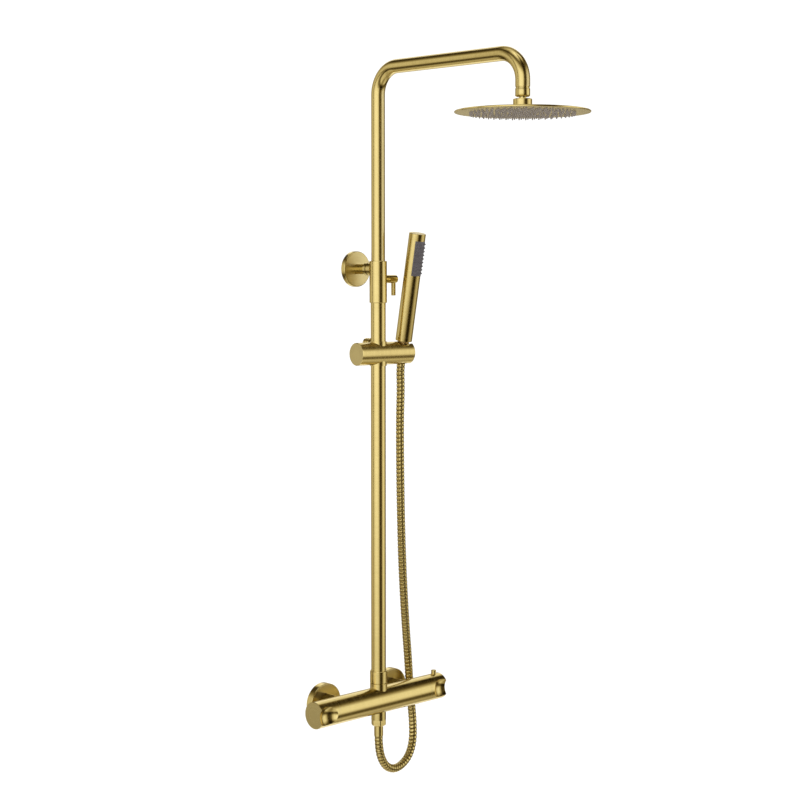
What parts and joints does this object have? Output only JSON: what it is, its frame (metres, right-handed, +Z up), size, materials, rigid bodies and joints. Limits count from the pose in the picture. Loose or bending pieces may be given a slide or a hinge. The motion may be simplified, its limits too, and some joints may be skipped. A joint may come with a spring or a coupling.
{
  "type": "rainfall shower column",
  "caption": "Wall-mounted thermostatic bar valve with a telescopic riser, overhead rain head on a ball joint, sliding holder, stick hand shower and hose.",
  "frame": {"origin": "on the wall plane, midway between the two inlets, at the height of the valve bar's axis", "axes": "+X along the valve bar towards the temperature knob, +Y into the wall, +Z up the riser"},
  "size_m": [0.282, 0.481, 1.1621],
  "materials": {
    "brushed_gold": "satin brushed gold coating over brass, fine brushing, soft broad highlights",
    "hose_gold": "gold-coated interlocked metal hose, fine ribs",
    "plain_brass": "machined bare brass",
    "plain_steel": "plain stainless steel",
    "grey_silicone": "matt grey silicone",
    "seal_rubber": "black rubber",
    "inner_plastic": "dark moulded plastic"
  },
  "bodies": {
    "root": {"inlet_connector_left": "brushed_gold", "inlet_connector_right": "brushed_gold", "escutcheon_left": "brushed_gold", "escutcheon_right": "brushed_gold", "union_nut_left": "brushed_gold", "union_nut_right": "brushed_gold", "check_valves": "inner_plastic", "filter_washers": "seal_rubber", "valve_body": "brushed_gold", "thermostatic_cartridge": "plain_brass", "flow_cartridge": "plain_brass", "thermostat_retaining_nut": "plain_brass", "flow_retaining_nut": "plain_brass", "riser_foot_seal": "seal_rubber", "riser_foot_collar": "brushed_gold", "lower_riser": "brushed_gold", "outlet_nipple": "brushed_gold", "hose_nut": "brushed_gold", "hose_washer": "seal_rubber", "hose_ferrule": "brushed_gold", "hose": "hose_gold", "riser_sleeve": "brushed_gold", "bracket_shaft": "brushed_gold", "wall_rosette": "brushed_gold", "bracket_base": "plain_brass", "wall_screws": "plain_steel"},
    "temperature_control": {"temperature_knob": "brushed_gold", "thermostat_spindle": "plain_brass", "thermostat_grub_screw": "plain_steel", "button_spring": "plain_steel"},
    "safety_stop": {"safety_button": "brushed_gold"},
    "flow_control": {"flow_knob": "brushed_gold", "flow_spindle": "plain_brass", "flow_grub_screw": "plain_steel"},
    "lock_lever": {"lock_barrel": "brushed_gold", "lock_pin": "brushed_gold", "lock_screw": "plain_steel"},
    "riser_carriage": {"riser_guide": "inner_plastic", "guide_seal": "seal_rubber"},
    "arm": {"upper_riser": "brushed_gold", "arm_nut": "brushed_gold", "head_ball": "brushed_gold"},
    "ball_ring": {"ball_seal": "seal_rubber"},
    "ball_socket": {"ball_cup": "inner_plastic"},
    "rain_head": {"head_collar": "brushed_gold", "head_top_plate": "brushed_gold", "head_spray_plate": "brushed_gold", "head_nozzles": "grey_silicone"},
    "holder_slider": {"holder_bush": "brushed_gold"},
    "holder": {"holder_body": "brushed_gold", "socket_liner": "brushed_gold", "upper_ferrule": "plain_brass"},
    "holder_clamp": {"clamp_knob": "brushed_gold", "clamp_screw": "plain_steel"},
    "handset_cone": {"cone_nut": "brushed_gold"},
    "handset": {"handset_body": "brushed_gold", "handset_tail": "plain_brass", "spray_panel": "grey_silicone", "handset_cap": "brushed_gold", "handset_waterway": "inner_plastic"}
  },
  "joints": [
    {"name": "temperature_turn", "type": "hinge", "parent": "root", "child": "temperature_control", "pos_m": [0.12, -0.056, 0], "axis": [1, 0, 0], "range_deg": [-210, 60]},
    {"name": "button_press", "type": "slide", "parent": "temperature_control", "child": "safety_stop", "axis": [0, 0, -1], "range_m": [0, 0.003], "stiffness_N_per_m": 500, "springref_m": -0.002, "deforming": ["button_spring"]},
    {"name": "flow_turn", "type": "hinge", "parent": "root", "child": "flow_control", "pos_m": [-0.12, -0.056, 0], "axis": [1, 0, 0], "range_deg": [-90, 90]},
    {"name": "lock_turn", "type": "hinge", "parent": "root", "child": "lock_lever", "pos_m": [0.03, -0.056, 0.684], "axis": [1, 0, 0], "range_deg": [0, 90]},
    {"name": "riser_height", "type": "slide", "parent": "root", "child": "riser_carriage", "axis": [0, 0, 1], "range_m": [-0.18, 0.16]},
    {"name": "arm_swivel", "type": "hinge", "parent": "riser_carriage", "child": "arm", "pos_m": [0, -0.056, 0.7], "axis": [0, 0, 1], "range_deg": [-60, 60]},
    {"name": "head_tilt_fore_aft", "type": "hinge", "parent": "arm", "child": "ball_ring", "pos_m": [0, -0.36, 0.942], "axis": [1, 0, 0], "range_deg": [-8, 8]},
    {"name": "head_tilt_sideways", "type": "hinge", "parent": "ball_ring", "child": "ball_socket", "pos_m": [0, -0.36, 0.942], "axis": [0, 1, 0], "range_deg": [-8, 8]},
    {"name": "head_spin", "type": "hinge", "parent": "ball_socket", "child": "rain_head", "pos_m": [0, -0.36, 0.942], "axis": [0, 0, 1], "continuous": true},
    {"name": "holder_height", "type": "slide", "parent": "root", "child": "holder_slider", "axis": [0, 0, 1], "range_m": [-0.2, 0.025], "deforming": ["hose"]},
    {"name": "holder_swivel", "type": "hinge", "parent": "holder_slider", "child": "holder", "pos_m": [0, -0.056, 0.565], "axis": [0, 0, 1], "range_deg": [-40, 10], "deforming": ["hose"]},
    {"name": "clamp_turn", "type": "hinge", "parent": "holder", "child": "holder_clamp", "pos_m": [0, -0.056, 0.581], "axis": [0.0872, 0.9962, 0], "range_deg": [-180, 180]},
    {"name": "handset_lift", "type": "slide", "parent": "holder", "child": "handset_cone", "axis": [-0.0172, -0.1969, 0.9803], "range_m": [0, 0.033], "deforming": ["hose"]},
    {"name": "handset_twist", "type": "hinge", "parent": "handset_cone", "child": "handset", "pos_m": [0.04951, -0.06033, 0.565], "axis": [-0.0172, -0.1969, 0.9803], "range_deg": [-120, 120]}
  ]
}
